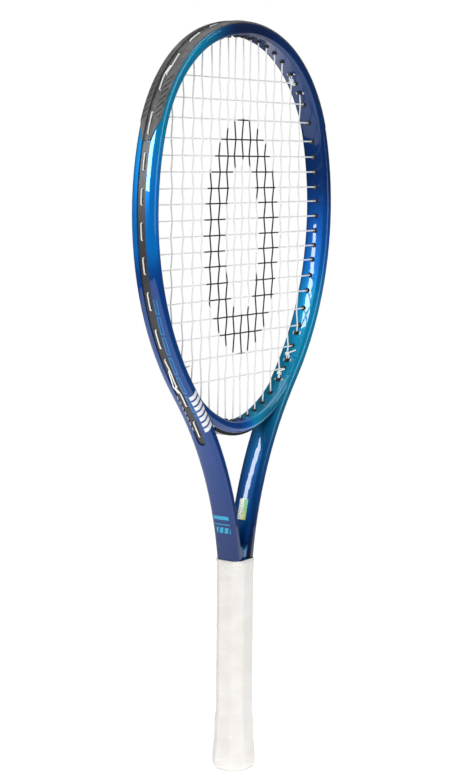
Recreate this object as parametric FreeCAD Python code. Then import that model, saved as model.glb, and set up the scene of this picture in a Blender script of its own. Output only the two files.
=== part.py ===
import FreeCAD, Part
import math
import os

from FreeCAD import Vector

# Tennis racket. Millimetres, +Z from the butt to the head's crown, string bed in the XZ plane,
# front face towards -Y. The origin is the middle of the butt end.

# Overall
overall_length = 685.8
frame_width = 12.6              # of the tube, in the plane of the strings
frame_depth = 24.0              # of the tube, across the strings
frame_corner = 4.6
side_crown = 60.0               # radius of the tube's two long sides, which bulge a little
frame_wall = 1.3
bumper_skin = 0.8

# Inner wall of the head, from the crown down one side: radius and sweep of each arc
head_radii = (141.6, 121.2, 237.7, 116.2)
head_sweeps = (16.6, 57.0, 54.8, 32.8)

# Throat and shafts, below the third arc of the head
throat_radius = 306.0
neck_angle = 9.5                # of the shafts from the handle's axis, just above the grip
neck_run = 22.0
fillet_share = 0.41             # of a tube's width, the most that its corners may take
neck_ease = 25.0                # over which the shafts' corners grow rounder, down to the pallet
stem_radius = 60.0
stem_gap = 0.3                  # between the two stems, inside the handle
stem_bottom = 14.0
crotch_gap = 8.0                # between the shafts, where the web that joins them begins
crotch_web_depth = 20.0
crotch_web_run = 57.0           # of the web, down into the handle
neck_corner = 9.0               # of the two shafts together, at the handle
neck_corner_fade = 2.0
neck_margin = 0.8               # of the shafts inside the pallet's outline
neck_spread = 8.0               # of that outline, at the top of the ease

# Throat bridge
bridge_width = 11.0
bridge_depth = 21.0
bridge_corner = 4.5
bridge_wall = 1.3
bridge_start = 10.0             # below the third arc, where the bridge has parted from the frame

# Outer groove, and the grommet strips that lie in it
groove_width = 9.0
groove_depth = 2.2
groove_past_hole = 4.5
strip_side_gap = 0.3            # of a strip from each side of its groove
strip_thickness = 0.9
bumper_past_arc = 9.5           # of the guard's tips, past the head's second arc
bumper_reach = 10.6             # of the skin, either side of the string plane
bumper_taper = 18.0
taper_lead = (1.3, 0.45)        # how much earlier the taper starts at the tube's edge, and ends at the groove
taper_step = 2.4
strip_gap = 0.6
channel_wall = 0.9
throat_rib_height = 1.6
throat_rib_width = 1.0
throat_strip_over = 6.0

# Grommet barrels
barrel_play = 0.9               # of the string, or of two of them, in a barrel's bore
barrel_skin = 0.7
barrel_clearance = 0.1
barrel_straightness = 2.0       # a barrel's lean to the wall's normal, against 1 to its string
barrel_host_pull = 2.0          # and to the normal of the tube that it crosses
barrel_stand = 0.9              # of a barrel's mouth out of the inner wall

# String bed
string_diameter = 1.3
string_rest = 0.2               # of a string off the floor of its strip
weave_clearance = 0.03
main_offsets = (5.9, 17.7, 30.0, 43.1, 56.6, 70.0, 84.8, 100.9)
cross_drops = (                 # of each cross string below the racket's top
    51.1, 70.0, 87.1, 104.5, 119.2, 133.3, 147.6, 161.0, 175.1,
    189.2, 203.2, 216.8, 231.9, 246.5, 263.0, 278.8, 297.8, 318.2)
throat_mains = 3                # on each side that leave through the bridge
bend_radius = 1.4
weave_bend = 9.0
weave_round = 0.06              # taken off each crossing by its bend
lane_gap = 0.25                 # between a string in the groove and one in a hole that it passes
tie_gap = 0.3                   # between the two strings in a tie-off hole
knot_gap = 0.3
knot_pitch_gap = 0.2
knot_quarters = 8
knot_start = 4.2
tail_length = 7.0
tail_lean = 0.4

# Handle
handle_width = 33.0             # across flats with the wrap on
handle_depth = 31.0
handle_bevel = 8.6              # of the octagon's corners, measured along a flat
pallet_top = 190.0
wrap_top = 196.0
wrap_thickness = 1.7
cap_flare = 1.6                 # of the butt cap out past the wrapped handle, on each side
cap_flare_bottom = 12.0
cap_flare_top = 32.0
cap_bevel = 10.0
cap_bevel_ease = 0.6
cap_wall = 1.5
cap_floor = 2.4
cap_collar_top = 44.0
wrap_bottom = 2.0
wrap_ramp = 10.0
door_width = 21.0
door_depth = 19.0
door_corner = 4.0
door_clearance = 0.2
door_skirt_inset = 0.3
door_skirt = 8.0
door_wall = 1.4
staple_width = 9.0
staple_leg = 3.0
staple_wire = 0.7
staple_height = 38.0
tape_bottom = 186.0
tape_top = 199.0
tape_thickness = 0.35
tape_draw = 2.0
label_rise = 51.0               # of its middle above the pallet's top
label_length = 19.0
label_width = 9.0
label_thickness = 0.12

up = Vector(0, 0, 1)
up_y = Vector(0, 1, 0)

# What follows from them
strip_width = groove_width - 2 * strip_side_gap
stem_offset = (frame_width + stem_gap) / 2
barrel_bore = string_diameter + barrel_play
tie_barrel_bore = 2 * string_diameter + barrel_play
barrel_diameter = barrel_bore + 2 * barrel_skin
tie_barrel_diameter = tie_barrel_bore + 2 * barrel_skin
lane = string_diameter + lane_gap
tie_lane = 2 * string_diameter
tie_shift = (string_diameter + tie_gap) / 2
knot_radius = string_diameter + knot_gap
knot_pitch = string_diameter + knot_pitch_gap
cross_heights = [overall_length - drop for drop in cross_drops]
pallet_width = handle_width - 2 * wrap_thickness
pallet_depth = handle_depth - 2 * wrap_thickness
bevel_ease = 2 - math.sqrt(2)   # change of an octagon's bevel, per millimetre of skin
pallet_bevel = handle_bevel - wrap_thickness * bevel_ease
collar_width = pallet_width + 2 * cap_wall
collar_depth = pallet_depth + 2 * cap_wall
collar_bevel = pallet_bevel + cap_wall * bevel_ease
cap_flare_width = handle_width + 2 * cap_flare
cap_flare_depth = handle_depth + 2 * cap_flare


class Path:
    """A plane route of straight runs and tangent arcs; heading 0 is +X, 90 is -Z."""

    def __init__(self, start, heading):
        self.end = start
        self.heading = heading
        self.length = 0.0
        self.pieces = []

    def add(self, radius, amount):
        """An arc of the radius and sweep in degrees, or a run of that length when radius is None.
        A negative radius bends the other way."""
        piece = {"at": self.length, "point": self.end, "heading": self.heading, "radius": radius}
        piece["length"] = amount if radius is None else abs(radius) * math.radians(amount)
        self.pieces.append(piece)
        self.end, self.heading = self.locate(piece, piece["length"])
        self.length += piece["length"]

    def locate(self, piece, run):
        tangent, normal = directions(piece["heading"])
        if piece["radius"] is None:
            return piece["point"] + tangent * run, piece["heading"]
        turn = math.degrees(run / piece["radius"])
        centre = piece["point"] - normal * piece["radius"]
        return centre + directions(piece["heading"] + turn)[1] * piece["radius"], piece["heading"] + turn

    def at(self, station):
        piece = [p for p in self.pieces if p["at"] <= station + 1e-9][-1]
        return self.locate(piece, station - piece["at"])

    def sweep(self, section, begin, finish):
        """A section, given as a face in (outward, Y), carried from one station to the other."""
        solids = []
        for piece in self.pieces:
            low = max(begin, piece["at"])
            high = min(finish, piece["at"] + piece["length"])
            if high - low < 1e-6:
                continue
            point, heading = self.locate(piece, low - piece["at"])
            face = placed(section, point, heading)
            tangent, normal = directions(heading)
            if piece["radius"] is None:
                solids.append(face.extrude(tangent * (high - low)))
                continue
            turn = math.degrees((high - low) / piece["radius"])
            centre = point - normal * piece["radius"]
            solids.append(face.revolve(centre, up_y, turn))
        return joined(solids)

    def station(self, test, low=0.0, high=None):
        """The first place where test(point, heading) turns true, between low and high."""
        high = self.length if high is None else high
        for _ in range(50):
            middle = (low + high) / 2
            if test(*self.at(middle)):
                high = middle
            else:
                low = middle
        return high

    def offset(self, point):
        """How far outside the route a point lies, and the station beside it."""
        best = None
        for piece in self.pieces:
            tangent, normal = directions(piece["heading"])
            if piece["radius"] is None:
                run = (point - piece["point"]).dot(tangent)
                away = (point - piece["point"]).dot(normal)
            else:
                radius = piece["radius"]
                arm = point - (piece["point"] - normal * radius)
                side = 1 if radius > 0 else -1
                run = math.atan2(arm.dot(tangent), arm.dot(normal) * side) * abs(radius)
                away = side * (arm.Length - abs(radius))
            if -1 <= run <= piece["length"] + 1 and (best is None or abs(away) < abs(best[0])):
                best = (away, piece["at"] + run)
        return best


def directions(heading):
    """The tangent, and the outward normal, of a heading in degrees."""
    turn = math.radians(heading)
    return Vector(math.cos(turn), 0, -math.sin(turn)), Vector(math.sin(turn), 0, math.cos(turn))


def placed(section, point, heading):
    """A section drawn in the XY plane, its X taken outward and its Y kept."""
    tangent, normal = directions(heading)
    matrix = FreeCAD.Matrix(
        normal.x, 0, -tangent.x, point.x, 0, 1, 0, point.y, normal.z, 0, -tangent.z, point.z, 0, 0, 0, 1)
    face = section.copy()
    face.Placement = FreeCAD.Placement(matrix)
    return face


def joined(solids):
    if len(solids) == 1:
        return solids[0]
    return solids[0].fuse(solids[1:]).removeSplitter()


def mirrored(shape):
    return shape.mirror(Vector(0, 0, 0), Vector(1, 0, 0))


def both_sides(shape):
    return joined([shape, mirrored(shape)])


def rounded_face(width, depth, corner, middle=0.0):
    """A rectangle with round corners in the XY plane, its middle at (middle, 0)."""
    box = Part.makeBox(width, depth, 1, Vector(middle - width / 2, -depth / 2, 0))
    upright = [e for e in box.Edges if abs(e.tangentAt(e.FirstParameter).z) > 0.9]
    solid = box.makeFillet(corner, upright)
    floor = min(solid.Faces, key=lambda f: f.CenterOfMass.z)
    return Part.Face(floor.OuterWire)


def crowned_face(width, depth, corner, crown):
    """The same, its two long sides bulging on arcs of the crown's radius."""
    solid = Part.makeBox(width, depth, 1, Vector(-width / 2, -depth / 2, 0))
    for side in (-1, 1):
        middle = Vector(side * (crown - width / 2), 0, 0)
        disc = Part.makeCylinder(crown, 1, middle)
        disc.rotate(middle, up, 0 if side > 0 else 180)
        solid = solid.common(disc)
    upright = [
        e for e in solid.Edges
        if abs(e.tangentAt(e.FirstParameter).z) > 0.9 and abs(e.CenterOfMass.y) > depth / 2 - 0.01]
    solid = solid.makeFillet(min(corner, fillet_share * width), upright)
    floor = min(solid.Faces, key=lambda f: f.CenterOfMass.z)
    return Part.Face(floor.OuterWire)


def tube_face(grow):
    """The section of the frame's tube, grown by a skin, or shrunk by a wall."""
    return crowned_face(
        frame_width + 2 * grow, frame_depth + 2 * grow, frame_corner + grow, side_crown + grow)


def plate_face(left, right, low, high):
    """A plain rectangle in the XY plane."""
    return Part.Face(Part.makePolygon([
        Vector(left, low, 0), Vector(right, low, 0), Vector(right, high, 0), Vector(left, high, 0),
        Vector(left, low, 0)]))


def octagon(width, depth, height, bevel):
    """An octagonal wire at a height, its corners cut back by bevel along each flat."""
    x, y = width / 2, depth / 2
    corners = [
        (x - bevel, -y), (x, bevel - y), (x, y - bevel), (x - bevel, y),
        (bevel - x, y), (-x, y - bevel), (-x, bevel - y), (bevel - x, -y)]
    points = [Vector(a, b, height) for a, b in corners]
    return Part.makePolygon(points + points[:1])


def octagon_prism(width, depth, bottom, top, bevel):
    return Part.Face(octagon(width, depth, bottom, bevel)).extrude(Vector(0, 0, top - bottom))


def save(name, shape):
    solids = shape.Solids
    result = solids[0] if len(solids) == 1 else Part.makeCompound(solids)
    result.exportStep("parts/" + name + ".step")
    print(f"{name:22s} solids {len(solids):3d}  volume {result.Volume:9.0f}  valid {result.isValid()}")


# Routes

frame_top = overall_length - bumper_skin
wall_crown = Vector(0, 0, frame_top - frame_width)


def head_path(outward):
    """The inner wall of the head, moved outward, over its first three arcs."""
    path = Path(wall_crown + Vector(0, 0, outward), 0.0)
    for radius, sweep in zip(head_radii[:3], head_sweeps[:3]):
        path.add(radius + outward, sweep)
    return path


def bridge_path(outward):
    """The rest of the head's inner wall, moved outward, down to the middle of the throat."""
    path = Path(head_path(outward).end, sum(head_sweeps[:3]))
    path.add(head_radii[3] + outward, head_sweeps[3])
    last = path.end.x / math.sin(math.radians(path.heading))
    path.add(last, 180 - path.heading)
    return path


def frame_path():
    """The axis of the frame's tube, from the crown down one side to the bottom of its stem."""
    path = head_path(frame_width / 2)
    lean = math.radians(path.heading - 90)
    neck = math.radians(neck_angle)
    across = throat_radius * (math.cos(neck) - math.cos(lean))
    across += neck_run * math.sin(neck)
    across += stem_radius * (1 - math.cos(neck))
    path.add(None, (path.end.x - stem_offset - across) / math.sin(lean))
    path.add(-throat_radius, path.heading - 90 - neck_angle)
    path.add(None, neck_run)
    path.add(-stem_radius, neck_angle)
    path.add(None, path.end.z - stem_bottom)
    return path


frame_axis = frame_path()
bumper_end = frame_axis.pieces[2]["at"] + bumper_past_arc
bridge_axis = bridge_path(bridge_width / 2)


# Grommet holes: where each string end passes the wall of the head, and the way its barrel points

wall = head_path(0.0)
for piece in bridge_path(0.0).pieces:
    wall.add(piece["radius"], math.degrees(piece["length"] / piece["radius"]))
widest = wall.station(lambda p, h: h > 90)
string_lift = string_diameter / 2 + string_rest
frame_floor = frame_width / 2 - groove_depth + strip_thickness
bridge_floor = bridge_width / 2 + strip_thickness


def grommet(name, station, string_way, tie=False):
    """One hole: its mouth on the wall, its axis turned a little from the wall's normal towards the
    string, and its outer end on the floor of the strip that holds it."""
    mouth, heading = wall.at(station)
    normal = directions(heading)[1]
    host, floor = (bridge_axis, bridge_floor) if name == "throat" else (frame_axis, frame_floor)
    beside = directions(host.at(host.offset(mouth)[1])[1])[1]
    axis = (normal * barrel_straightness + beside * barrel_host_pull + string_way).normalize()
    end = reach(host, mouth, axis, floor)
    turn = reach(host, mouth, axis, floor + string_lift)
    return {"wall": mouth, "mouth": mouth - axis * (barrel_stand / axis.dot(normal)), "axis": axis,
            "end": end, "turn": turn, "strip": name, "tie": tie, "station": host.offset(end)[1],
            "host": host, "lift": floor + string_lift}


def reach(host, start, axis, away):
    """The point along an axis that lies a given distance outside the host's route."""
    low, high = 0.0, 45.0
    for _ in range(40):
        middle = (low + high) / 2
        found = host.offset(start + axis * middle)
        if found is None or found[0] < away:
            low = middle
        else:
            high = middle
    return start + axis * high


def strip_of(station):
    return "bumper" if station < bumper_end else "side"


top_mains = []
bottom_mains = []
for number, x in enumerate(main_offsets, start=1):
    station = wall.station(lambda p, h: p.x > x, 0.0, widest)
    top_mains.append(grommet("bumper", station, up, tie=number == 7))
    station = wall.station(lambda p, h: p.x < x, widest)
    strip = "throat" if number <= throat_mains else "side"
    bottom_mains.append(grommet(strip, station, -up, tie=number in (6, 7)))
crosses = []
for z in cross_heights:
    station = wall.station(lambda p, h: p.z < z)
    beside = frame_axis.station(lambda p, h: h >= wall.at(station)[1] or p.z < wall_crown.z / 2)
    crosses.append(grommet(strip_of(beside), station, Vector(1, 0, 0)))
grommets = top_mains + bottom_mains + crosses
groove_end = max(g["station"] for g in grommets if g["strip"] == "side") + groove_past_hole


def rod(hole, diameter, before=0.0, after=0.0):
    start = hole["mouth"] - hole["axis"] * before
    span = (hole["end"] - hole["mouth"]).Length + before + after
    return Part.makeCylinder(diameter / 2, span, start, hole["axis"])


def barrel_rods(holes, grow, before, after, bore=False):
    rods = []
    for hole in holes:
        diameter = tie_barrel_bore if hole["tie"] else barrel_bore
        if not bore:
            diameter = tie_barrel_diameter if hole["tie"] else barrel_diameter
        rods.append(rod(hole, diameter + grow, before, after))
    return rods


def cut_pair(shape, rods):
    tools = rods + [mirrored(r) for r in rods]
    return shape.cut(tools)


# Frame: one hollow moulding, from the crown down both sides and into the handle

tube = tube_face(0.0)
groove = plate_face(frame_width / 2 - groove_depth, frame_width, -groove_width / 2, groove_width / 2)
shaft_cavity = tube_face(-frame_wall)
head_cavity = shaft_cavity.common(plate_face(
    -frame_width, frame_width / 2 - groove_depth - frame_wall, -frame_depth, frame_depth)).Faces[0]
bridge_section = crowned_face(bridge_width, bridge_depth, bridge_corner, side_crown)


def groove_cap():
    """Rounds off the groove's lower end."""
    point, heading = frame_axis.at(groove_end)
    normal = directions(heading)[1]
    return Part.makeCylinder(groove_width / 2, 20, point + normal * (frame_width / 2 - groove_depth), normal)


def neck_envelope():
    """Rounds the corners of the two shafts where they run together above the handle."""
    width = pallet_width - 2 * neck_margin
    low = rounded_face(width, frame_depth, neck_corner)
    foot = low.extrude(up * pallet_top)
    high = rounded_face(
        width + 2 * neck_spread, frame_depth + neck_corner_fade, neck_corner - neck_corner_fade)
    wires = [low.OuterWire, high.OuterWire]
    wires[0].Placement.Base = up * pallet_top
    wires[1].Placement.Base = up * (pallet_top + neck_ease)
    room = overall_length
    rest = Part.makeBox(
        2 * room, 2 * frame_depth, room, Vector(-room, -frame_depth, pallet_top + neck_ease))
    return joined([foot, Part.makeLoft(wires, True, True), rest])


def crotch_web():
    """Fills the notch between the shafts, up to a round crotch."""
    half_gap = crotch_gap / 2
    middle = frame_axis.station(lambda p, h: p.z < wall_crown.z / 2 and p.x < frame_width / 2 + half_gap)
    top = frame_axis.at(middle)[0].z + half_gap
    width = crotch_gap + 2
    web = Part.makeBox(
        width, crotch_web_depth, crotch_web_run + half_gap,
        Vector(-width / 2, -crotch_web_depth / 2, top - half_gap - crotch_web_run))
    bite = Part.makeCylinder(half_gap, crotch_web_depth, Vector(0, -crotch_web_depth / 2, top), up_y)
    return web.cut(bite)


def frame_outside():
    side = frame_axis.sweep(tube, 0.0, frame_axis.length)
    shape = joined([side, mirrored(side), crotch_web()])
    return shape.common(neck_envelope())


outside = frame_outside()


def make_frame():
    """The tube with its groove, hollow inside, and drilled for every barrel."""
    axis = frame_axis
    past_groove = groove_end + groove_width / 2 + 2
    grooves = joined([axis.sweep(groove, 0.0, groove_end), groove_cap()])
    hollow = joined([
        axis.sweep(head_cavity, 0.0, past_groove), axis.sweep(shaft_cavity, past_groove - 1, axis.length)])
    solid = outside.cut([grooves, mirrored(grooves), hollow, mirrored(hollow)])
    return cut_pair(solid, barrel_rods(grommets, 2 * barrel_clearance, 4, 6))


def make_bridge():
    """The hollow cross piece that closes the head; its ends are shaped to the frame's tube."""
    inner = crowned_face(
        bridge_width - 2 * bridge_wall, bridge_depth - 2 * bridge_wall, bridge_corner - bridge_wall,
        side_crown - bridge_wall)
    solid = both_sides(bridge_axis.sweep(bridge_section, bridge_start, bridge_axis.length))
    hollow = both_sides(bridge_axis.sweep(inner, bridge_start, bridge_axis.length))
    solid = solid.cut([hollow, outside])
    solid = max(solid.Solids, key=lambda s: s.Volume)
    return cut_pair(solid, barrel_rods(grommets, 2 * barrel_clearance, 4, 6))


def barrels(name, side=1):
    """The tubes of one strip's barrels and the bores through them, on one side of the racket."""
    holes = [g for g in grommets if g["strip"] == name]
    tubes = barrel_rods(holes, 0.0, 0.0, -strip_thickness / 2)
    bores = barrel_rods(holes, 0.0, 3, 8, bore=True)
    if side < 0:
        return [mirrored(t) for t in tubes], [mirrored(b) for b in bores]
    return tubes, bores


def make_side_strip():
    """The long strip in one side's groove, from the bumper guard down to below the head."""
    low = frame_floor - strip_thickness
    strip = frame_axis.sweep(plate_face(low, frame_floor, -strip_width / 2, strip_width / 2),
                             bumper_end + strip_gap, groove_end)
    point, heading = frame_axis.at(groove_end)
    normal = directions(heading)[1]
    end = Part.makeCylinder(strip_width / 2, strip_thickness, point + normal * low, normal)
    tubes, bores = barrels("side")
    return strip.fuse([end] + tubes).cut(bores)


def make_throat_strip():
    """The short strip under the bridge, with two low ribs that guard the string."""
    base = bridge_width / 2
    edge = strip_width / 2
    section = plate_face(base - 1, bridge_floor + throat_rib_height, -edge, edge).cut([
        plate_face(bridge_floor, 2 * bridge_width, throat_rib_width - edge, edge - throat_rib_width),
        bridge_section])
    section = max(section.Faces, key=lambda f: f.Area)
    first = min(g["station"] for g in grommets if g["strip"] == "throat") - throat_strip_over
    strip = both_sides(bridge_axis.sweep(section, first, bridge_axis.length))
    near_tubes, near_bores = barrels("throat")
    far_tubes, far_bores = barrels("throat", -1)
    return strip.fuse(near_tubes + far_tubes).cut(near_bores + far_bores)


def bumper_trim():
    """Cuts the skin's two wings back to the channel, over the last of the guard."""
    point, heading = frame_axis.at(bumper_end)
    tangent, normal = directions(heading)
    inner = groove_width / 2
    outer = frame_depth
    early, late = taper_lead
    corners = [(-bumper_taper * early, outer), (bumper_past_arc, outer), (bumper_past_arc, inner), (0, inner),
               (-bumper_taper * late, inner + taper_step), (-bumper_taper, bumper_reach)]
    trims = []
    for side in (-1, 1):
        points = [point + tangent * t + up_y * (side * v) - normal * frame_width for t, v in corners]
        trims.append(Part.Face(Part.makePolygon(points + points[:1])).extrude(normal * 2.5 * frame_width))
    return trims


def make_bumper():
    """The guard over the crown: a skin on the tube's shoulders and a channel in its groove."""
    half = frame_width / 2
    shell = tube_face(bumper_skin).cut(tube)
    shell = shell.common(plate_face(0, frame_width, -bumper_reach, bumper_reach))
    channel = groove_width / 2 - channel_wall
    block = plate_face(half - groove_depth, half + bumper_skin, -groove_width / 2, groove_width / 2)
    section = shell.fuse(block).cut(plate_face(frame_floor, frame_width, -channel, channel))
    side = joined([frame_axis.sweep(face, 0.0, bumper_end) for face in section.Faces])
    side = side.cut(bumper_trim())
    near_tubes, near_bores = barrels("bumper")
    far_tubes, far_bores = barrels("bumper", -1)
    shape = side.fuse([mirrored(side)] + near_tubes + far_tubes).cut(near_bores + far_bores)
    return shape


# String bed: two strings, each one piece from knot to knot

def flip(point, side):
    return Vector(point.x * side, point.y, point.z)


def groove_run(first, second, side, way, ends):
    """Points along the groove from one hole to the next; ends are the two strings' shifts in Y, and
    way is the side on which holes between them are passed."""
    host = first["host"]
    low, high = sorted((first["station"], second["station"]))
    passed = [g for g in grommets if g["host"] is host and low + 1 < g["station"] < high - 1]
    stops = [(first["station"], ends[0]), (second["station"], ends[1])]
    stops += [(g["station"], way * (tie_lane if g["tie"] else lane)) for g in passed]
    stops.sort(reverse=first["station"] > second["station"])
    points = []
    for (a, shift_a), (b, shift_b) in zip(stops, stops[1:]):
        steps = max(1, math.ceil(abs(b - a) / 11))
        for step in range(1, steps + 1):
            share = step / steps
            place, heading = host.at(a + (b - a) * share)
            place = place + directions(heading)[1] * first["lift"]
            points.append(flip(place, side) + up_y * (shift_a + (shift_b - shift_a) * share))
    return points[:-1]


def shifted(point, side, shift):
    return flip(point, side) + up_y * shift


def column(number, side):
    """A main string's place from left to right."""
    count = len(main_offsets)
    return count + number if side > 0 else count - 1 - number


def weave(column_number, row_number):
    sign = 1 if (column_number + row_number) % 2 else -1
    return sign * (string_diameter / 2 + weave_clearance + weave_round)


def main_crossings(number, side):
    x = main_offsets[number]
    points = [
        Vector(side * x, weave(column(number, side), row), z)
        for row, z in enumerate(cross_heights)
        if bottom_mains[number]["wall"].z + 2 < z < top_mains[number]["wall"].z - 2]
    return points


def cross_crossings(row, side):
    z = cross_heights[row]
    numbers = [n for n, x in enumerate(main_offsets) if x < crosses[row]["wall"].x - 2]
    points = []
    for way in (-1, 1):
        points += [Vector(way * main_offsets[n], -weave(column(n, way), row), z) for n in numbers]
    points.sort(key=lambda p: p.x * side)
    return points


def knot(hole, side, anchor_next, way):
    """Turns of a string's end round the string beside it, just inside a tie-off hole."""
    start = shifted(hole["wall"], side, -way * tie_shift)
    along = (anchor_next - start).normalize()
    across = up_y.cross(along).normalize()
    beyond = along.cross(across)
    points = [shifted(hole["wall"], side, way * tie_shift)]
    corners = ((1, 1), (1, -1), (-1, -1), (-1, 1))
    turn = 1 if beyond.y * way > 0 else -1
    for quarter in range(knot_quarters + 1):
        a, b = corners[quarter % 4]
        run = knot_start + knot_pitch * quarter / 4
        points.append(start + along * run + across * (a * knot_radius) + beyond * (b * turn * knot_radius))
    points.append(points[-1] + (along * tail_lean - up_y).normalize() * tail_length)
    return points


def main_half(side):
    """One half of the main string, from the middle of the throat to its knot."""
    points = []
    last = len(main_offsets) - 1
    for number in range(last + 1):
        upward = number % 2 == 0
        first, second = bottom_mains[number], top_mains[number]
        crossings = main_crossings(number, side)
        crossings.sort(key=lambda p: p.z)
        if not upward:
            first, second = second, first
            crossings.reverse()
        first_shift, second_shift = main_shift(first), main_shift(second)
        points += [shifted(first["turn"], side, first_shift), shifted(first["wall"], side, first_shift)]
        points += crossings
        points += [shifted(second["wall"], side, second_shift), shifted(second["turn"], side, second_shift)]
        if number < last:
            row = top_mains if upward else bottom_mains
            following = row[number + 1]
            points += groove_run(second, following, side, -1, (second_shift, main_shift(following)))
    tie = bottom_mains[last - 1]
    points += groove_run(bottom_mains[last], tie, side, -1, (0.0, -tie_shift))
    points.append(shifted(tie["turn"], side, -tie_shift))
    anchor = min(main_crossings(last - 1, side), key=lambda p: p.z)
    return points + knot(tie, side, anchor, -1)


def main_shift(hole):
    """The main string's place in Y in its hole: beside the string that is tied off there."""
    if not hole["tie"]:
        return 0.0
    return tie_shift if hole is bottom_mains[-2] else -tie_shift


def main_route():
    left = main_half(-1)
    left.reverse()
    return left + main_half(1)


def cross_route():
    """The cross string: knotted at the top right, back and forth, and knotted at the bottom right."""
    top_tie, bottom_tie = top_mains[-2], bottom_mains[-3]
    anchor = max(main_crossings(len(main_offsets) - 2, 1), key=lambda p: p.z)
    points = knot(top_tie, 1, anchor, 1)
    points.reverse()
    points.append(shifted(top_tie["turn"], 1, tie_shift))
    points += groove_run(top_tie, crosses[0], 1, 1, (tie_shift, 0.0))
    side = 1
    for row in range(len(cross_heights)):
        hole = crosses[row]
        points += [flip(hole["turn"], side), flip(hole["wall"], side)]
        points += cross_crossings(row, -side)
        side = -side
        points += [flip(hole["wall"], side), flip(hole["turn"], side)]
        if row + 1 < len(cross_heights):
            points += groove_run(hole, crosses[row + 1], side, 1, (0.0, 0.0))
    points += groove_run(crosses[-1], bottom_tie, 1, 1, (0.0, tie_shift))
    points.append(shifted(bottom_tie["turn"], 1, tie_shift))
    anchor = min(main_crossings(len(main_offsets) - 3, 1), key=lambda p: p.z)
    return points + knot(bottom_tie, 1, anchor, 1)


def thread(route, name):
    """A round string through a route's points, each corner an arc."""
    edges = []
    here = route[0]
    for before, corner, after in zip(route, route[1:], route[2:]):
        back, on = (before - corner), (after - corner)
        turn = math.pi - back.getAngle(on)
        if turn < 0.002:
            continue
        limit = 0.46 * min(back.Length, on.Length) / math.tan(turn / 2)
        radius = min(weave_bend if turn < 0.4 else bend_radius, limit)
        reach_back = radius * math.tan(turn / 2)
        back.normalize()
        on.normalize()
        start, finish = corner + back * reach_back, corner + on * reach_back
        inward = (back + on).normalize()
        middle = corner + inward * (radius / math.cos(turn / 2) - radius)
        if (start - here).Length > 1e-4:
            edges.append(Part.LineSegment(here, start).toShape())
        edges.append(Part.Arc(start, middle, finish).toShape())
        here = finish
    edges.append(Part.LineSegment(here, route[-1]).toShape())
    path = Part.Wire(edges)
    tangent = (route[1] - route[0]).normalize()
    ring = Part.Wire([Part.Circle(route[0], tangent, string_diameter / 2).toShape()])
    shape = path.makePipeShell([ring], True, False)
    expected = path.Length * math.pi * string_diameter ** 2 / 4
    print(f"{name}: {path.Length:.0f} mm long, {len(edges)} edges, volume {shape.Volume / expected:.4f} of expected")
    return shape


# Handle

def octagon_loft(first, second):
    """Between two octagons, each (width, depth, height, bevel)."""
    return Part.makeLoft([octagon(*first), octagon(*second)], True, True)


def flared(grow):
    """The outline of the handle's flared end, over its plain end, grown by a skin."""
    bevel = cap_bevel + grow * bevel_ease
    wide, deep = cap_flare_width + 2 * grow, cap_flare_depth + 2 * grow
    neck = (collar_width + 2 * grow, collar_depth + 2 * grow)
    foot = octagon_prism(wide, deep, 0.0, cap_flare_bottom, bevel)
    cone = octagon_loft(
        (wide, deep, cap_flare_bottom, bevel), (neck[0], neck[1], cap_flare_top, bevel - cap_bevel_ease))
    return joined([foot, cone])


def make_pallet():
    """The foam grip former, moulded round the two stems."""
    prism = octagon_prism(pallet_width, pallet_depth, stem_bottom, pallet_top, pallet_bevel)
    return prism.cut(outside)


def door_outline(grow, bottom, top):
    face = rounded_face(door_width + 2 * grow, door_depth + 2 * grow, door_corner + grow)
    prism = face.extrude(up * (top - bottom))
    prism.translate(up * bottom)
    return prism


def staple_places():
    """The middle of each staple on the cap's collar, front and back."""
    return [(side, side * (pallet_depth / 2 + cap_wall)) for side in (-1, 1)]


def staple(side, y, grow=0.0):
    """One wire staple: a bridge on the collar and two legs into the pallet."""
    wire = staple_wire + 2 * grow
    depth = staple_leg + staple_wire
    low = y - side * staple_leg if side > 0 else y - staple_wire
    bridge_low = y if side > 0 else y - staple_wire
    legs = [
        Part.makeBox(wire, depth, wire, Vector(x - wire / 2, low, staple_height - wire / 2))
        for x in (-staple_width / 2, staple_width / 2)]
    bar = Part.makeBox(
        staple_width + wire, staple_wire, wire,
        Vector(-(staple_width + wire) / 2, bridge_low, staple_height - wire / 2))
    return joined([bar] + legs)


staples = [staple(side, y) for side, y in staple_places()]


def cap_outside():
    collar = octagon_prism(collar_width, collar_depth, cap_flare_top, cap_collar_top, collar_bevel)
    return joined([flared(0.0), collar])


def make_cap():
    """The butt cap: a flared cup over the pallet's end, with a mouth for the door."""
    body = cap_outside()
    seat = octagon_prism(pallet_width, pallet_depth, stem_bottom, cap_collar_top, pallet_bevel)
    room = octagon_prism(
        cap_flare_width - 2 * cap_wall, cap_flare_depth - 2 * cap_wall, cap_floor, stem_bottom, cap_bevel)
    cap = body.cut([seat, room, door_outline(door_clearance, -1, cap_floor + 1)])
    return cap.cut(staples)


def make_door():
    """The small door in the butt: a plate flush with the rim, and a skirt that grips the cap."""
    plate = door_outline(0.0, 0.0, cap_floor)
    skirt = door_outline(-door_skirt_inset, cap_floor, cap_floor + door_skirt)
    hollow = door_outline(-door_skirt_inset - door_wall, cap_floor, cap_floor + door_skirt)
    return joined([plate, skirt.cut(hollow)])


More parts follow.
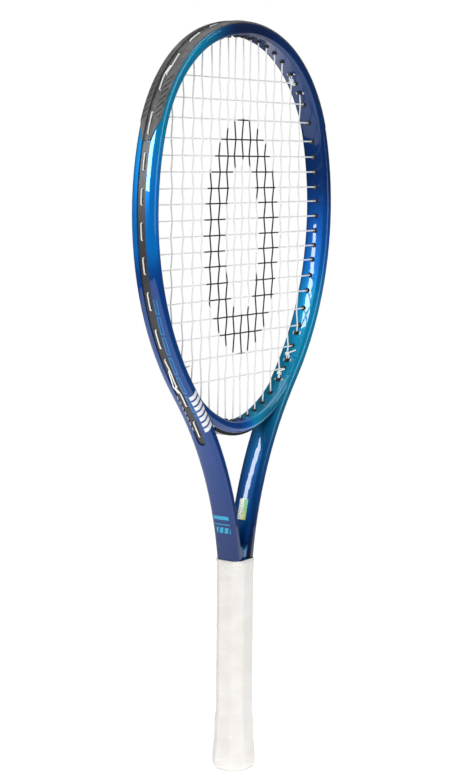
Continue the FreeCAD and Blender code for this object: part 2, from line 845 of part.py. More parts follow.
def make_wrap():
    """The grip wrap, from the flare's edge to above the pallet."""
    straight = octagon_prism(handle_width, handle_depth, cap_flare_top, wrap_top, handle_bevel)
    room = 2 * cap_flare_width
    low = flared(wrap_thickness).common(
        Part.makeBox(room, room, cap_flare_top, Vector(-room / 2, -room / 2, wrap_bottom)))
    width, depth = collar_width + 2 * wrap_thickness, collar_depth + 2 * wrap_thickness
    bevel = collar_bevel + wrap_thickness * bevel_ease
    collar = octagon_prism(width, depth, cap_flare_top, cap_collar_top, bevel)
    ramp = octagon_loft(
        (width, depth, cap_collar_top, bevel),
        (handle_width, handle_depth, cap_collar_top + wrap_ramp, handle_bevel))
    whole = joined([straight, low, collar, ramp])
    core = octagon_prism(pallet_width, pallet_depth, cap_collar_top, pallet_top, pallet_bevel)
    return whole.cut([core, cap_outside(), outside] + staples)


def make_tape():
    """The finishing tape that holds the wrap's top end to the frame."""
    grow = 2 * tape_thickness
    bevel = handle_bevel + tape_thickness * bevel_ease
    sleeve = octagon_prism(handle_width + grow, handle_depth + grow, tape_bottom, wrap_top, bevel)
    sleeve = sleeve.cut(octagon_prism(handle_width, handle_depth, tape_bottom, wrap_top, handle_bevel))
    cone = octagon_loft(
        (handle_width + grow, handle_depth + grow, wrap_top, bevel),
        (handle_width + grow - tape_draw, frame_depth + grow + 1, tape_top, bevel))
    return joined([sleeve, cone]).cut(outside)


def make_label():
    """A thin foil sticker on the inner face of the right shaft."""
    middle = frame_axis.station(lambda p, h: p.z < pallet_top + label_rise)
    section = tube_face(label_thickness).cut(tube).common(
        plate_face(-frame_width, 0, -label_width / 2, label_width / 2)).Faces[0]
    return frame_axis.sweep(section, middle - label_length / 2, middle + label_length / 2)


# Sub-parts

os.makedirs("parts", exist_ok=True)
side_strip = make_side_strip()
save("frame", make_frame())
save("throat_bridge", make_bridge())
save("bumper_guard", make_bumper())
save("grommet_strip_right", side_strip)
save("grommet_strip_left", mirrored(side_strip))
save("throat_grommet_strip", make_throat_strip())
save("main_string", thread(main_route(), "main string"))
save("cross_string", thread(cross_route(), "cross string"))
save("handle_pallet", make_pallet().cut(staples))
save("butt_cap", make_cap())
save("butt_door", make_door())
save("butt_cap_staples", Part.makeCompound(staples))
save("grip_wrap", make_wrap())
save("finishing_tape", make_tape())
save("foil_label", make_label())
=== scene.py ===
import bmesh
import bpy
import math

from mathutils import Matrix, Vector
from mathutils.bvhtree import BVHTree


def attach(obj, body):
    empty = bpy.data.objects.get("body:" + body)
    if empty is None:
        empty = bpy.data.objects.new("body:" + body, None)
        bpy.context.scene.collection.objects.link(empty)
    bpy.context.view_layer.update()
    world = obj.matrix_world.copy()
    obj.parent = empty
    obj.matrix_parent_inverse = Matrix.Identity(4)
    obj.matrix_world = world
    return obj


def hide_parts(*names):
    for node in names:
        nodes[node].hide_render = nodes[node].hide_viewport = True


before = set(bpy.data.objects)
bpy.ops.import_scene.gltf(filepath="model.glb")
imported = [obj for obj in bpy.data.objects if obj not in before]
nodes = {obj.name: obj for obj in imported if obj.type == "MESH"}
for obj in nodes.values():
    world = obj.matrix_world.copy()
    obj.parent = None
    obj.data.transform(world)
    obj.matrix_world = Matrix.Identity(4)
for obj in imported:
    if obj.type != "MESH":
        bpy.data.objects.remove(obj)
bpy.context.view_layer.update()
perMetre = 1000.0  # the dictionaries below are in millimetres
mergeGap = 2e-6    # points of a sheet nearer than this, in metres, become one
print("frame loaded,", len(nodes), "nodes")


def tone(red, green, blue):
    # a colour as a paint chart gives it, made linear for the shader
    parts = [c / 255 for c in (red, green, blue)]
    return tuple(((c + 0.055) / 1.055) ** 2.4 if c > 0.04 else c / 12.92 for c in parts) + (1.0,)


class Wire:
    # one output socket, so that shader sums read as plain sums
    def __init__(self, network, socket):
        self.network = network
        self.socket = socket

    def sum(self, operation, first, second=None):
        return self.network.add("ShaderNodeMath", {"operation": operation}, {0: first, 1: second})

    def __add__(self, other):
        return self.sum("ADD", self, other)

    def __radd__(self, other):
        return self.sum("ADD", other, self)

    def __sub__(self, other):
        return self.sum("SUBTRACT", self, other)

    def __rsub__(self, other):
        return self.sum("SUBTRACT", other, self)

    def __mul__(self, other):
        return self.sum("MULTIPLY", self, other)

    def __rmul__(self, other):
        return self.sum("MULTIPLY", other, self)

    def __truediv__(self, other):
        return self.sum("DIVIDE", self, other)

    def __neg__(self):
        return self.sum("MULTIPLY", self, -1.0)

    def __abs__(self):
        return self.sum("ABSOLUTE", self)

    def __mod__(self, other):
        return self.sum("FLOORED_MODULO", self, other)

    def below(self, other):
        return self.sum("MINIMUM", self, other)

    def above(self, other):
        return self.sum("MAXIMUM", self, other)

    def rise(self, start, end):
        # 0 before start, 1 after end, smooth between
        return self.network.add(
            "ShaderNodeMapRange", {"interpolation_type": "SMOOTHSTEP"},
            {0: self, 1: start, 2: end, 3: 0.0, 4: 1.0})

    def fall(self, start, end):
        # 1 before start, 0 after end
        return 1 - self.rise(start, end)

    def within(self, limits, edge):
        # 1 between the two limits, with a soft edge
        start, end = limits
        return self.rise(start - edge, start + edge) * self.fall(end - edge, end + edge)


class Network:
    # a shader tree that nodes are added to, one at a time, with their settings and sockets
    def __init__(self, tree):
        self.tree = tree

    def add(self, kind, settings, sockets, output=0):
        node = self.tree.nodes.new(kind)
        for name, value in settings.items():
            if name == "stops":
                self.fillRamp(node.color_ramp, value)
            else:
                setattr(node, name, value)
        for name, value in sockets.items():
            if isinstance(value, Wire):
                self.tree.links.new(value.socket, node.inputs[name])
            elif value is not None:
                node.inputs[name].default_value = value
        return Wire(self, node.outputs[output])

    def fillRamp(self, ramp, stops):
        while len(ramp.elements) < len(stops):
            ramp.elements.new(0.5)
        for element, (place, colour) in zip(ramp.elements, stops):
            element.position = place
            element.color = colour


class Finish(Network):
    # a material: its constants go on the shader's own sockets, what varies is wired in
    def __init__(self, name, constants):
        self.material = bpy.data.materials.new(name)
        self.material.use_nodes = True
        super().__init__(self.material.node_tree)
        self.shader = self.tree.nodes["Principled BSDF"]
        for socket, value in constants.items():
            self.shader.inputs[socket].default_value = value

    def place(self):
        # where a point lies on the object, in millimetres
        coords = self.add("ShaderNodeTexCoord", {}, {}, "Object")
        return self.add("ShaderNodeVectorMath", {"operation": "SCALE"}, {0: coords, "Scale": perMetre})

    def facing(self):
        # which way the surface faces, in the object's own axes
        return self.split(self.add("ShaderNodeTexCoord", {}, {}, "Normal"))

    def split(self, vector):
        return tuple(self.add("ShaderNodeSeparateXYZ", {}, {0: vector}, axis) for axis in "XYZ")

    def noise(self, vector, scale, detail=2.0, rough=0.5):
        return self.add(
            "ShaderNodeTexNoise", {},
            {"Vector": vector, "Scale": scale, "Detail": detail, "Roughness": rough})

    def mix(self, mask, first, second):
        return self.add("ShaderNodeMix", {"data_type": "RGBA"}, {0: mask, 6: first, 7: second}, 2)

    def ramp(self, value, stops):
        return self.add("ShaderNodeValToRGB", {"stops": stops}, {0: value})

    def bump(self, height, strength, distance):
        return self.add(
            "ShaderNodeBump", {}, {"Strength": strength, "Distance": distance, "Height": height})

    def finish(self, **wires):
        for socket, wire in wires.items():
            self.tree.links.new(wire.socket, self.shader.inputs[socket.replace("_", " ")])
        return self.material


# The lacquer fades from teal through blue to indigo along the frame, the other way round on each side; a
# brighter cyan patch on the left outer wall is a painted highlight
lacquerLook = {
    "constants": {"Coat Weight": 1.0, "Coat Roughness": 0.03, "Coat IOR": 1.46, "Specular IOR Level": 0.05},
    "fade": (
        (0.01, tone(2, 36, 98)),
        (0.17, tone(2, 56, 128)),
        (0.32, tone(2, 66, 138)),
        (0.42, tone(2, 62, 140)),
        (0.50, tone(3, 82, 168)),
        (0.56, tone(5, 102, 186)),
        (0.63, tone(8, 144, 194)),
        (0.69, tone(4, 142, 182)),
        (0.77, tone(16, 118, 152)),
        (0.83, tone(4, 84, 138)),
        (0.90, tone(4, 60, 124)),
        (0.95, tone(5, 34, 86)),
        (0.99, tone(8, 20, 54)),
    ),
    "fadeCentre": 500.0,                # height at which both sides have the middle colour
    "fadeLength": 600.0,
    "halfWidth": (200.0, 0.25, 3.0),    # from this height on, it grows at this rate from this width
    "halfWidthLimits": (4.0, 144.0),
    "crown": tone(8, 28, 76),
    "crownAcross": (0.1, 0.75),
    "crownRise": (560.0, 640.0),
    "nightSide": tone(6, 16, 52),
    # brighter cyan of the painted highlight on the left outer wall, where the lights fall
    "leftWallHighlight": tone(4, 142, 236),
    "flakeTint": tone(20, 130, 215),
    "flakeShare": 0.3,
    "metal": 0.25,
    "rough": 0.33,
    "peel": 0.6,                        # orange peel of the clear coat
}


def bodyColour(paint, x, z, flake):
    look = lacquerLook
    start, rate, least = look["halfWidth"]
    narrow, wide = look["halfWidthLimits"]
    halfWidth = ((z - start) * rate + least).above(narrow).below(wide)
    across = (x / halfWidth).above(-1.0).below(1.0)
    base = paint.ramp(across * (look["fadeCentre"] - z) / look["fadeLength"] + 0.5, look["fade"])
    crown = abs(across).fall(*look["crownAcross"]) * z.rise(*look["crownRise"])
    upperRight = x.rise(20.0, 90.0) * z.rise(505.0, 550.0)
    # painted highlight: the left outer wall is made brighter cyan between these heights
    leftWallHighlightMask = x.fall(-140.0, -128.0) * z.within((478.0, 585.0), 14.0)
    lowerLeft = x.fall(-60.0, -30.0) * z.fall(230.0, 330.0)
    base = paint.mix(crown, base, look["crown"])
    base = paint.mix(upperRight * 0.5, base, look["nightSide"])
    base = paint.mix(leftWallHighlightMask * 0.6, base, look["leftWallHighlight"])
    base = paint.mix(lowerLeft * 0.25, base, look["nightSide"])
    return paint.mix(flake.rise(0.5, 0.72) * look["flakeShare"], base, look["flakeTint"])


# The printed marks are plain shapes; limits are along the height, or from front to back
marksLook = {
    "blue": tone(36, 168, 212),
    "white": tone(236, 238, 240),
    "dashStrength": 0.6,
    "dashPitch": 18.0,
    "dash": (1.2, 16.6),
    "dashHole": (2.0, 15.8),
    "dashBand": (-8.6, -5.0),
    "dashHoleBand": (-7.9, -5.7),
    "dashRun": (338.0, 446.0),
    "bar": (238.4, 241.8),
    "barBand": (-8.0, 8.2),
    "line": (233.4, 234.1),
    "lineBand": (-8.6, 8.2),
    "blocks": (225.4, 230.8),
    "blocksBand": (-8.4, 6.6),
    "blockPitch": 5.4,
    "block": (0.9, 4.5),
    "blockLean": 0.22,
    "slantStart": (-84.0, 362.0),       # across and up, where the row of slanted bars begins
    "slantWay": (0.6, -0.8),
    "slantLength": (0.0, 44.0),
    "slantWidth": (-4.6, 4.6),
    "slantPitch": 6.3,
    "slantBar": (0.9, 5.1),
    "slantLean": 0.25,
    "dots": (                           # out from the middle, and whether at the crown or the throat
        (84.8, True), (100.9, True), (100.9, False), (84.8, False), (70.0, False)),
    "dotAside": 3.7,
    "dotSize": (0.3, 0.75),             # squared reach of the dot's soft edge
    "crownSquash": 0.9,
    "throatSquash": 0.8,
    "endDot": 313.4,
    "endDotSize": (0.9, 1.6),
    "peel": 0.35,
}


def outlinedDashes(y, z, side):
    # along the outer wall, in front of the groove
    look = marksLook
    turn = z % look["dashPitch"]
    hole = turn.within(look["dashHole"], 0.25) * y.within(look["dashHoleBand"], 0.2)
    dash = turn.within(look["dash"], 0.25) * y.within(look["dashBand"], 0.2)
    return dash * (1 - hole) * z.within(look["dashRun"], 0.3) * side


def shaftMarks(x, y, z, side):
    # a bar, a line and blocks low on the left shaft's outer wall
    look = marksLook
    bar = z.within(look["bar"], 0.2) * y.within(look["barBand"], 0.2)
    line = z.within(look["line"], 0.15) * y.within(look["lineBand"], 0.2)
    row = ((y + z * look["blockLean"]) % look["blockPitch"]).within(look["block"], 0.2)
    blocks = row * z.within(look["blocks"], 0.2) * y.within(look["blocksBand"], 0.2)
    return bar.above(line).above(blocks) * side * x.fall(-4.0, -2.0)


def slantedBars(x, z, facingY):
    # on the front of the left throat
    look = marksLook
    alongX, alongZ = look["slantWay"]
    offX, offZ = x - look["slantStart"][0], z - look["slantStart"][1]
    down = offX * alongX + offZ * alongZ
    aside = offZ * alongX - offX * alongZ
    bars = ((down + aside * look["slantLean"]) % look["slantPitch"]).within(look["slantBar"], 0.25)
    bars = bars * down.within(look["slantLength"], 0.3) * aside.within(look["slantWidth"], 0.25)
    return bars * (-facingY).rise(0.2, 0.3)


def tieDots(x, y, z):
    # beside the tie-off holes, and one at the left groove's end
    look = marksLook
    crownHalf = z.rise(499.0, 501.0)
    throatHalf = 1 - crownHalf
    end = (z - look["endDot"]) * (z - look["endDot"]) + y * y
    dots = end.fall(*look["endDotSize"]) * x.fall(-31.0, -30.0)
    gap = abs(y) - look["dotAside"]
    for offset, atCrown in look["dots"]:
        away = (abs(x) - offset) * look["crownSquash" if atCrown else "throatSquash"]
        spot = (away * away + gap * gap).fall(*look["dotSize"])
        dots = dots.above(spot * (crownHalf if atCrown else throatHalf))
    return dots


def makeLacquer():
    look = lacquerLook
    paint = Finish("lacquer", look["constants"])
    point = paint.place()
    x, y, z = paint.split(point)
    facingX, facingY = paint.facing()[:2]
    flake = paint.noise(point, 9.0, 3.0, 0.8)
    base = bodyColour(paint, x, z, flake)

    side = (-facingX).rise(0.45, 0.6)
    dashes = outlinedDashes(y, z, side)
    marks = shaftMarks(x, y, z, side)
    white = slantedBars(x, z, facingY) + tieDots(x, y, z)
    base = paint.mix(dashes * marksLook["dashStrength"], base, marksLook["blue"])
    base = paint.mix(marks, base, marksLook["blue"])
    base = paint.mix(white.below(1.0), base, marksLook["white"])

    printed = (dashes + marks + white).below(1.0)
    metal = look["metal"] - printed * 0.23
    rough = look["rough"] + flake * 0.05 + printed * 0.1
    peel = paint.noise(point, 0.35) * look["peel"] + printed * marksLook["peel"]
    return paint.finish(
        Base_Color=base, Metallic=metal, Roughness=rough, Normal=paint.bump(peel, 0.25, 0.0001))


guardLook = {
    "grey": tone(86, 85, 86),
    "light": tone(120, 119, 119),
    "speck": tone(70, 70, 72),
    # near black of the painted shade in the vents
    "ventShade": tone(30, 30, 33),
    "slotPitch": 5.6,
    "slotLean": 1.1,
    "slotLimits": (0.6, 2.3),
    "slotBand": (4.9, 9.2),
    "slotRun": (598.0, 634.0),
}


def makeGuard():
    look = guardLook
    plastic = Finish("guardPlastic", {"Specular IOR Level": 0.45})
    point = plastic.place()
    y, z = plastic.split(point)[1:]
    cloud = plastic.noise(point, 0.09, 4.0, 0.6)
    grain = plastic.noise(point, 2.6, 3.0, 0.7)
    base = plastic.mix(cloud.rise(0.35, 0.7), look["grey"], look["light"])
    base = plastic.mix(grain * 0.35, base, look["speck"])
    slots = ((z + y * look["slotLean"]) % look["slotPitch"]).within(look["slotLimits"], 0.3)
    slots = slots * abs(y).within(look["slotBand"], 0.3) * z.within(look["slotRun"], 1.0)
    # painted shade: the slanted vents are painted near black for the shade in their recesses, as well as bumped
    # in
    base = plastic.mix(slots, base, look["ventShade"])
    height = grain * 0.2 - slots
    return plastic.finish(
        Base_Color=base, Roughness=0.5 + grain * 0.15, Normal=plastic.bump(height, 0.8, 0.0006))


grommetLook = {
    "mouth": tone(14, 14, 16),
    "dark": tone(38, 38, 41),
    "pale": tone(70, 70, 73),
    "headCentre": 510.0,
    "reach": 150.0,
}


def makeGrommet():
    # black where it faces into the head, grey in the grooves
    look = grommetLook
    nylon = Finish("grommetNylon", {"Specular IOR Level": 0.5})
    point = nylon.place()
    x, z = nylon.split(point)[::2]
    facingX, facingZ = nylon.facing()[::2]
    outward = (facingX * x + facingZ * (z - look["headCentre"])) / look["reach"]
    grain = nylon.noise(point, 1.2, 3.0, 0.6)
    base = nylon.mix(grain.rise(0.3, 0.75), look["dark"], look["pale"])
    base = nylon.mix(outward.rise(0.1, 0.4), look["mouth"], base)
    return nylon.finish(
        Base_Color=base, Roughness=0.32 + grain * 0.2, Normal=nylon.bump(grain, 0.4, 0.0002))


# The stencil on the strings is a plain tall ring; the strings glow faintly with their own colour, a painted
# light in place of light let through
stringLook = {
    "constants": {
        # Emission Strength makes the faint painted glow of the strings
        "Specular IOR Level": 0.5, "Coat Weight": 0.2, "Coat Roughness": 0.15, "Emission Strength": 0.12},
    "pale": tone(244, 244, 242),
    "dull": tone(230, 231, 230),
    "ink": tone(16, 16, 20),
    "centre": (6.0, 494.0),
    "outer": (60.0, 106.0),
    "inner": (27.0, 70.0),
}


def makeString(name, wear):
    look = stringLook
    gut = Finish(name, look["constants"])
    point = gut.place()
    x, z = gut.split(point)[::2]
    spots = gut.noise(point, 0.9)
    base = gut.mix(spots.rise(0.3, 0.8), look["pale"], look["dull"])
    offX, offZ = x - look["centre"][0], z - look["centre"][1]

    def oval(halfX, halfZ):
        return (offX / halfX) * (offX / halfX) + (offZ / halfZ) * (offZ / halfZ)

    ring = oval(*look["outer"]).fall(0.985, 1.015) * oval(*look["inner"]).rise(0.97, 1.03)
    patchy = 1 - gut.noise(point, 0.6, 4.0).rise(0.62, 0.8) * wear
    base = gut.mix(ring * patchy, base, look["ink"])
    # the emission is a painted glow: the strings give out a little of their own colour
    return gut.finish(Base_Color=base, Emission_Color=base, Roughness=0.28 + spots * 0.1 + ring * 0.2)


wrapLook = {
    "constants": {"Specular IOR Level": 0.35, "Sheen Weight": 0.15, "Sheen Roughness": 0.4},
    "pale": tone(247, 243, 239),
    "warm": tone(240, 235, 230),
    # tone of the painted shade in the crease along each lap's edge
    "lapShade": tone(196, 188, 178),
    "lapShadeStrength": 0.09,
    "seamStart": (0.0, 0.06),           # shares of one turn, either side of the lap's edge
    "seamEnd": (0.965, 1.0),
}


def makeWrapSkin(pitch):
    look = wrapLook
    skin = Finish("wrapSkin", look["constants"])
    point = skin.place()
    x, y, z = skin.split(point)
    turn = skin.add("ShaderNodeMath", {"operation": "ARCTAN2"}, {0: y, 1: x}) / (2 * math.pi)
    phase = (z / pitch - turn) % 1.0
    # painted shade: darker in a band along each lap's edge, where the crease lies
    lapShade = (phase.fall(*look["seamStart"]) + phase.rise(*look["seamEnd"])).below(1.0)
    grain = skin.noise(point, 2.2, 3.0, 0.6)
    cloud = skin.noise(point, 0.05, 3.0)
    base = skin.mix(cloud.rise(0.3, 0.7), look["pale"], look["warm"])
    base = skin.mix(lapShade * look["lapShadeStrength"], base, look["lapShade"])
    return skin.finish(
        Base_Color=base, Roughness=0.56 + grain * 0.12, Normal=skin.bump(grain, 0.35, 0.00012))


# Plain mottled finishes: two tones, the mottle's scale, then how rough, how uneven and how deep it is
mottledLooks = {
    "tapeVinyl": {
        "level": 0.5, "tones": (tone(247, 243, 239), tone(238, 234, 229)), "scale": 0.5,
        "rough": 0.34, "uneven": 0.12, "bump": 0.3, "depth": 0.0003},
    "capPlastic": {
        "level": 0.45, "tones": (tone(232, 230, 226), tone(220, 217, 212)), "scale": 1.6,
        "rough": 0.42, "uneven": 0.12, "bump": 0.3, "depth": 0.0002},
}


def makeMottled(name):
    look = mottledLooks[name]
    cover = Finish(name, {"Specular IOR Level": look["level"]})
    grain = cover.noise(cover.place(), look["scale"], 3.0)
    base = cover.mix(grain.rise(0.3, 0.7), *look["tones"])
    return cover.finish(
        Base_Color=base, Roughness=look["rough"] + grain * look["uneven"],
        Normal=cover.bump(grain, look["bump"], look["depth"]))


foamLook = {"tones": (tone(150, 148, 142), tone(120, 118, 112)), "cell": 1.4}


def makeFoam():
    foam = Finish("mouldedFoam", {"Specular IOR Level": 0.3})
    cells = foam.add("ShaderNodeTexVoronoi", {}, {"Vector": foam.place(), "Scale": foamLook["cell"]})
    base = foam.mix(cells.rise(0.1, 0.7), *foamLook["tones"])
    return foam.finish(Base_Color=base, Roughness=0.8 + cells * 0.1, Normal=foam.bump(cells, 0.5, 0.0003))


stapleLook = {"tones": (tone(190, 190, 192), tone(150, 150, 152)), "streak": 3.0}


def makeStaple():
    steel = Finish("stapleSteel", {"Metallic": 1.0})
    streak = steel.noise(steel.place(), stapleLook["streak"], 3.0)
    return steel.finish(
        Base_Color=steel.mix(streak, *stapleLook["tones"]), Roughness=0.25 + streak * 0.2)


foilLook = {
    "greens": (tone(168, 180, 96), tone(100, 150, 112)),
    "silvers": (tone(190, 196, 186), tone(96, 112, 108)),
    "greenRise": (233.0, 246.0),
    "join": (-1.2, 0.2),
}


def makeFoil():
    look = foilLook
    foil = Finish("foil", {"Metallic": 0.6})
    point = foil.place()
    y, z = foil.split(point)[1:]
    crackle = foil.noise(point, 0.9, 4.0, 0.7)
    green = foil.mix(z.rise(*look["greenRise"]), *look["greens"])
    silver = foil.mix(crackle.rise(0.45, 0.62), *look["silvers"])
    base = foil.mix(y.rise(*look["join"]), green, silver)
    return foil.finish(Base_Color=base, Roughness=0.3 + crackle * 0.15)


def paintNodes():
    lacquer, nylon, cap = makeLacquer(), makeGrommet(), makeMottled("capPlastic")
    finishes = {
        "frame": lacquer,
        "throat_bridge": lacquer,
        "bumper_guard": makeGuard(),
        "grommet_strip_left": nylon,
        "grommet_strip_right": nylon,
        "throat_grommet_strip": nylon,
        "main_string": makeString("mainGut", 0.5),
        "cross_string": makeString("crossGut", 0.35),
        "handle_pallet": makeFoam(),
        "butt_cap": cap,
        "butt_door": cap,
        "butt_cap_staples": makeStaple(),
        "foil_label": makeFoil(),
    }
    for name, material in finishes.items():
        for holder in nodes[name].material_slots:
            holder.material = material
    print("lacquer, guard, strings and fittings painted")


paintNodes()


def octagonAt(stations, height):
    # width, depth and bevel of the octagon at a height, between the stations next to it
    lower = [s for s in stations if s[0] <= height] or [stations[0]]
    upper = [s for s in stations if s[0] > height] or [stations[-1]]
    low, high = lower[-1], upper[0]
    if high[0] <= low[0]:
        return low[1:]
    share = min(max((height - low[0]) / (high[0] - low[0]), 0.0), 1.0)
    return tuple(a + (b - a) * share for a, b in zip(low[1:], high[1:]))


def octagonReach(angle, width, depth, bevel, sharpness):
    # how far the rounded octagon reaches from its axis in a direction
    diagonal = (width / 2 + depth / 2 - bevel) / math.sqrt(2)
    sides = [(0, width / 2), (90, depth / 2), (180, width / 2), (270, depth / 2)]
    sides += [(turn, diagonal) for turn in (45, 135, 225, 315)]
    total = 0.0
    for turn, reach in sides:
        lean = math.cos(angle - math.radians(turn))
        if lean > 0:
            total += (lean / reach) ** sharpness
    return total ** (-1 / sharpness)


def sleeveSheet(columns, rows):
    # a flat sheet a unit wide and high: a column of faces per step round, a row per step up
    sheet = bmesh.new()
    bmesh.ops.create_grid(sheet, x_segments=columns, y_segments=rows, size=0.5)
    return sheet


def trimLevel(shape, height, keepAbove):
    bmesh.ops.bisect_plane(
        shape, geom=shape.verts[:] + shape.edges[:] + shape.faces[:], dist=1e-7,
        plane_co=(0, 0, height / perMetre), plane_no=(0, 0, -1 if keepAbove else 1), clear_outer=True)


def turnInRim(shape, height, amount):
    # the cut edge folds inwards by the skin's thickness
    level = height / perMetre
    rim = [e for e in shape.edges if e.is_boundary and all(abs(v.co.z - level) < 1e-5 for v in e.verts)]
    made = bmesh.ops.extrude_edge_only(shape, edges=rim)["geom"]
    for vert in (g for g in made if isinstance(g, bmesh.types.BMVert)):
        flat = Vector((vert.co.x, vert.co.y))
        flat *= 1 - amount / perMetre / flat.length
        vert.co.x, vert.co.y = flat


def finishPiece(shape, name, material, replaced=()):
    bmesh.ops.recalc_face_normals(shape, faces=shape.faces[:])
    mesh = bpy.data.meshes.new(name)
    for face in shape.faces:
        face.smooth = True
    shape.to_mesh(mesh)
    shape.free()
    mesh.materials.append(material)
    piece = bpy.data.objects.new(name, mesh)
    bpy.context.scene.collection.objects.link(piece)
    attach(piece, "racket")
    if replaced:
        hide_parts(*replaced)
    print(name, "made,", len(mesh.polygons), "faces")


# The grip: a strip wound up the handle, each turn lapping the one below
grip = {
    "stations": (                       # height, width, depth and corner bevel
        (2.0, 37.2, 35.2, 9.6),
        (3.4, 38.8, 36.8, 10.0),
        (5.5, 39.5, 37.5, 10.6),
        (12.0, 39.5, 37.5, 11.0),
        (22.0, 37.9, 35.9, 10.6),
        (32.0, 36.1, 34.1, 10.2),
        (44.0, 35.9, 33.9, 9.4),
        (54.0, 33.0, 31.0, 8.6),
        (196.0, 33.0, 31.0, 8.6),
    ),
    "cornerSharpness": 34,
    "pitch": 21.0,
    "lap": 0.22,                        # step of one turn over the next
    "lapFade": 2.4,
    "dip": 0.10,                        # crease just below the lap's edge
    "dipPlace": 0.985,
    "dipWidth": 0.02,
    "columns": 120,
    "rows": (
        0.0, 0.012, 0.03, 0.06, 0.1, 0.16, 0.24, 0.33, 0.42,
        0.51, 0.6, 0.69, 0.78, 0.86, 0.92, 0.96, 0.985),
    "bottom": 2.0,
    "top": 196.0,
    "turnIn": 1.5,
}


def makeGrip():
    look = grip
    pitch = look["pitch"]
    turns = range(-1, int(look["top"] / pitch) + 2)
    heights = [(turn + row) * pitch for turn in turns for row in look["rows"]]
    heights.append((turns[-1] + 1) * pitch)
    rows = len(heights) - 1
    shape = sleeveSheet(look["columns"], rows)
    for vert in shape.verts:
        turnShare = vert.co.x + 0.5
        start = heights[round((vert.co.y + 0.5) * rows)]
        angle = 2 * math.pi * turnShare
        height = start + pitch * turnShare
        phase = (start / pitch) % 1.0
        lap = look["lap"] * (math.exp(-phase * look["lapFade"]) if phase > 0 else 0.0)
        dip = look["dip"] * math.exp(-((phase - look["dipPlace"]) / look["dipWidth"]) ** 2)
        level = min(max(height, look["bottom"]), look["top"])
        reach = octagonReach(angle, *octagonAt(look["stations"], level), look["cornerSharpness"])
        reach += lap - look["lap"] - dip
        vert.co = Vector((math.cos(angle) * reach, math.sin(angle) * reach, height)) / perMetre
    bmesh.ops.remove_doubles(shape, verts=shape.verts[:], dist=mergeGap)
    trimLevel(shape, look["bottom"], True)
    trimLevel(shape, look["top"], False)
    turnInRim(shape, look["bottom"], look["turnIn"])
    turnInRim(shape, look["top"], look["turnIn"])
    finishPiece(shape, "grip_skin", makeWrapSkin(pitch), ["grip_wrap"])


makeGrip()


# The finishing tape: one turn and a bit, drawn in over the grip's top edge
tape = {
    "stations": (                       # height, width, depth and corner bevel
        (186.0, 33.5, 31.5, 8.8),
        (195.2, 33.6, 31.6, 8.8),
        (196.4, 33.4, 31.2, 7.6),
        (198.8, 32.6, 29.2, 6.2),
    ),
    "cornerSharpness": 26,
    "bottom": 186.0,
    "top": 198.9,
    "step": 0.45,
    "endAngle": 286.0,                  # where the tape's end is stuck down, in degrees
    "endLean": 0.9,
    "endShare": 0.012,                  # share of a turn that the end's step takes
    "layer": 0.28,
    "puckers": 11,
    "puckerDepth": 0.10,
    "puckerLean": 0.8,
    "puckerStart": 194.0,
    "puckerRun": 5.0,
    "columns": 144,
    "bottomTurnIn": 0.35,
    "topTurnIn": 1.2,
}


def makeTape():
    look = tape
    run = look["top"] - look["bottom"]
    rows = round(run / look["step"])
    shape = sleeveSheet(look["columns"], rows)
    for vert in shape.verts:
        angle = 2 * math.pi * (vert.co.x + 0.5)
        height = look["bottom"] + run * round((vert.co.y + 0.5) * rows) / rows
        end = math.radians(look["endAngle"] + (height - look["bottom"]) * look["endLean"])
        past = ((angle - end) % (2 * math.pi)) / (2 * math.pi)
        layer = look["layer"] * (1 - min(past / look["endShare"], 1.0) * 0.5 - past * 0.5)
        pucker = look["puckerDepth"] * max(0.0, (height - look["puckerStart"]) / look["puckerRun"])
        pucker *= math.sin(angle * look["puckers"] + height * look["puckerLean"])
        reach = octagonReach(angle, *octagonAt(look["stations"], height), look["cornerSharpness"])
        reach += layer - look["layer"] * 0.6 + pucker
        vert.co = Vector((math.cos(angle) * reach, math.sin(angle) * reach, height)) / perMetre
    bmesh.ops.remove_doubles(shape, verts=shape.verts[:], dist=mergeGap)
    turnInRim(shape, look["bottom"], look["bottomTurnIn"])
    turnInRim(shape, look["top"], look["topTurnIn"])
    finishPiece(shape, "tape_band", makeMottled("tapeVinyl"), ["finishing_tape"])


makeTape()


# A black collar round each string where it leaves the inner wall, turned as a small lip
collar = {
    "crossHeights": (
        634.7, 615.8, 598.7, 581.3, 566.6, 552.5, 538.2, 524.8,
        510.7, 496.6, 482.6, 469.0, 453.9, 439.3, 422.8, 407.0,
        388.0, 367.6,
    ),
    "mainOffsets": (5.9, 17.7, 30.0, 43.1, 56.6, 70.0, 84.8, 100.9),
    "middle": 494.0,                    # height from which the walls above and below are looked for
    "lip": (                            # out from the string, and up from the wall
        (1.0, -1.6), (1.0, 0.95), (1.3, 1.3), (1.95, 1.35), (2.4, 1.0), (2.6, 0.3), (2.6, -1.6)),
    "steps": 14,
    "probe": 3.4,
    "tones": (tone(10, 10, 12), tone(26, 26, 29)),
}


def wallAt(walls, start, along):
    # the place between the points where two rays, either side of the strings, meet the inner wall
    hits = []
    for aside in (-collar["probe"], collar["probe"]):
        origin = Vector((start[0], aside, start[1])) / perMetre
        found = [wall.ray_cast(origin, along)[0] for wall in walls]
        hits.append(min((h for h in found if h is not None), key=lambda h: (h - origin).length))
    return (hits[0] + hits[1]) / 2


def makeCollarNylon():
    nylon = Finish("collarNylon", {"Specular IOR Level": 0.5})
    grain = nylon.noise(nylon.place(), 1.6)
    return nylon.finish(Base_Color=nylon.mix(grain, *collar["tones"]), Roughness=0.34 + grain * 0.15)


